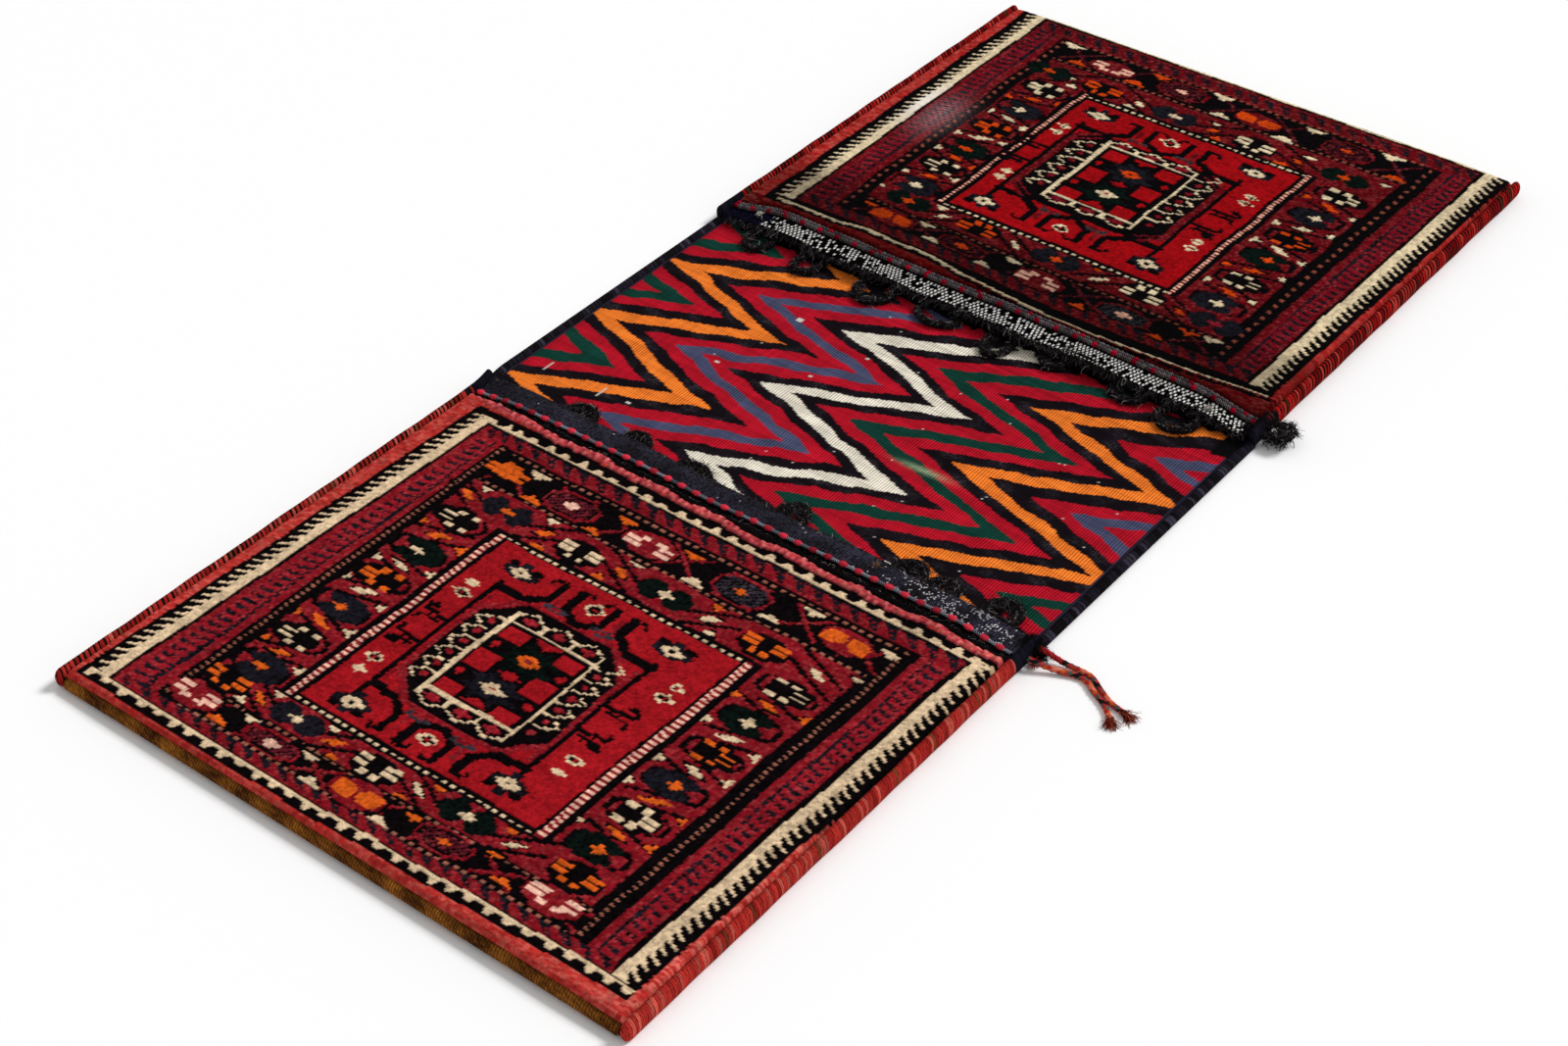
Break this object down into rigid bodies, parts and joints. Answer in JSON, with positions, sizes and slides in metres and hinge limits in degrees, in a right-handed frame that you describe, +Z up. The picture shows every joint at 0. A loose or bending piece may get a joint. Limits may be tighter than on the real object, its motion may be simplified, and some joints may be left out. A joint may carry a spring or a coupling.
{
  "type": "kilim saddle bag",
  "caption": "Double saddle bag laid flat: two pouches with knotted pile fronts on one long web, joined by a chevron flat-woven bridge, with closure loops at both mouths.",
  "frame": {"origin": "centre of the bag's plan, on the floor that it lies on, without the free cords", "axes": "+X across the bag to its right, +Y along it from the near pouch to the far pouch, +Z up from the floor"},
  "size_m": [0.6454, 1.25, 0.0265],
  "materials": {
    "flat_weave": "weft-faced wool flat weave with fine ribs, in red, black, slate blue, orange, ivory and green",
    "pile_wool": "short knotted wool pile, matt with a slight sheen",
    "seam_wool": "wool yarn wound round the edges and twined across the mouths",
    "goat_hair": "coarse dark goat hair, braided or wound",
    "tie_wool": "braided wool yarn in several colours"
  },
  "bodies": {
    "root": {"web": "flat_weave", "near_pile": "pile_wool", "far_pile": "pile_wool", "near_twining": "seam_wool", "far_twining": "seam_wool", "near_seam_left": "seam_wool", "near_seam_right": "seam_wool", "far_seam_left": "seam_wool", "far_seam_right": "seam_wool", "bridge_selvedge_left": "goat_hair", "bridge_selvedge_right": "goat_hair", "near_loop_1": "goat_hair", "near_loop_2": "goat_hair", "near_loop_3": "goat_hair", "near_loop_4": "goat_hair", "near_loop_5": "goat_hair", "near_loop_6": "goat_hair", "near_loop_7": "goat_hair", "far_loop_1": "goat_hair", "far_loop_2": "goat_hair", "far_loop_3": "goat_hair", "far_loop_4": "goat_hair", "far_loop_5": "goat_hair", "far_loop_6": "goat_hair", "far_loop_7": "goat_hair", "far_loop_8": "goat_hair", "far_loop_9": "goat_hair", "tie_upper": "tie_wool", "tie_lower": "tie_wool"}
  },
  "joints": []
}
